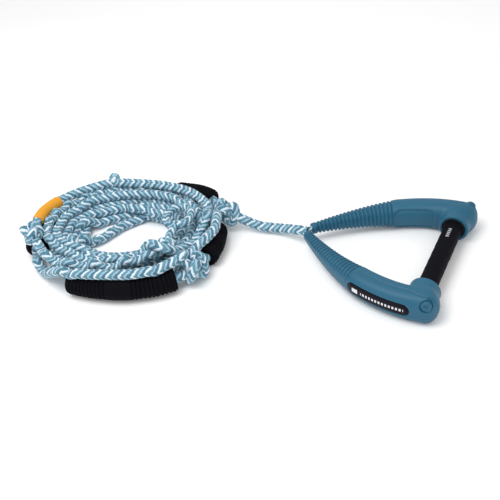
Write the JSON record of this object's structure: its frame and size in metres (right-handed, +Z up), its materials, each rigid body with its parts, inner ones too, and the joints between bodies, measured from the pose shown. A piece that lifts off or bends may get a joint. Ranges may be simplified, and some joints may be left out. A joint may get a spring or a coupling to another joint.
{
  "type": "tow rope handle",
  "caption": "Triangular moulded tow handle with a turning foam grip, hinged on a thick braided rope that lies coiled with knots, foam floats, an end loop and a sleeve.",
  "frame": {"origin": "bottom centre of the handle's bounding box, on the surface that it lies on", "axes": "+X along the handle from the apex to the grip, +Y along the grip, +Z up"},
  "size_m": [0.6932, 0.372, 0.0659],
  "materials": {
    "moulding": "satin teal moulded rubber, fine ribs near the apex",
    "badge": "satin black inlay",
    "foam": "matte black closed-cell foam",
    "flange": "matte black",
    "bush": "matte white",
    "bar": "satin tube",
    "rope": "chevron braid of teal and white yarn",
    "bridle": "smooth braided core",
    "sleeve": "orange woven sleeve"
  },
  "bodies": {
    "rope": {"rope_coil": "rope", "rope_lead": "rope", "bridle_eye": "rope", "boat_loop": "rope", "knot_left": "rope", "knot_right": "rope", "knot_front": "rope", "knot_inner": "rope", "knot_rear": "rope", "float_front": "foam", "float_right": "foam", "float_rear": "foam", "float_left": "foam", "loop_sleeve": "sleeve"},
    "handle": {"arm_left": "moulding", "arm_right": "moulding", "badge_left": "badge", "badge_right": "badge", "hub_plug_left": "moulding", "hub_plug_right": "moulding", "socket_bush_left": "bush", "socket_bush_right": "bush", "bridle_rope": "bridle"},
    "grip": {"bar_tube": "bar", "grip_sleeve": "foam", "grip_flange_left": "flange", "grip_flange_right": "flange"}
  },
  "joints": [
    {"name": "handle_lift", "type": "hinge", "parent": "rope", "child": "handle", "pos_m": [-0.1229, 0, 0.0232], "axis": [0, -1, 0], "range_deg": [0, 90]},
    {"name": "grip_spin", "type": "hinge", "parent": "handle", "child": "grip", "pos_m": [0.0926, 0, 0.0232], "axis": [0, 1, 0], "continuous": true}
  ]
}
